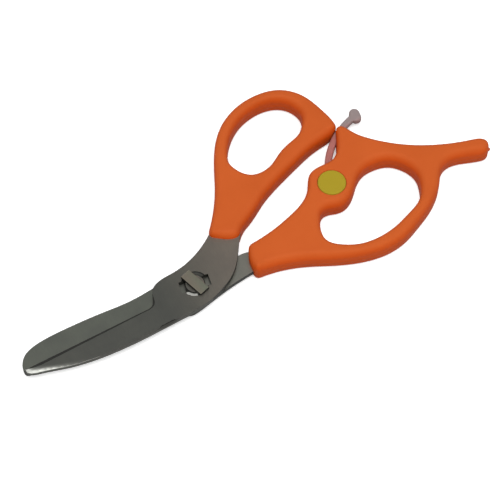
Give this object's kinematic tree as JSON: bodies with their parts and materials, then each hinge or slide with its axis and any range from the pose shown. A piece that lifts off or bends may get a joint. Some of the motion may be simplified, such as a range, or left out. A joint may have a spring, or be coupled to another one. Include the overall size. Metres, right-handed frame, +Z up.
{
  "type": "craft scissors",
  "caption": "Closed craft scissors with broad upswept blunt blades, a take-apart bar pivot, two moulded finger loops, a finger-rest tail and a springy assist lever on a button axle.",
  "frame": {"origin": "bottom centre of the closed scissors' bounding box, on the face they lie on", "axes": "+X from the blade tips towards the handles, +Y from the finger loop towards the thumb loop, +Z up out of the face the scissors lie on and along both hinge axes"},
  "size_m": [0.1986, 0.0838, 0.0092],
  "materials": {
    "blade_steel": "fine brushed stainless steel",
    "stud_steel": "turned and filed steel",
    "orange_plastic": "moulded, soft satin sheen",
    "clear_plastic": "milky translucent moulding",
    "yellow_plastic": "moulded, satin"
  },
  "bodies": {
    "finger_half": {"rear_blade": "blade_steel", "pivot_stud": "stud_steel", "finger_handle": "orange_plastic", "lever_button": "yellow_plastic", "button_retainer": "yellow_plastic"},
    "thumb_half": {"front_blade": "blade_steel", "thumb_handle": "orange_plastic"},
    "lever": {"assist_lever": "clear_plastic"}
  },
  "joints": [
    {"name": "blade_pivot", "type": "hinge", "parent": "finger_half", "child": "thumb_half", "pos_m": [-0.02864, -0.02025, 0.00653], "axis": [0, 0, 1], "range_deg": [0, 99]},
    {"name": "lever_swing", "type": "hinge", "parent": "finger_half", "child": "lever", "pos_m": [0.03696, -0.00795, 0.0045], "axis": [0, 0, 1], "range_deg": [0, 50]}
  ],
  "couplings": [
    {"joint": "lever_swing", "follows": "blade_pivot", "ratio": 0.5}
  ]
}
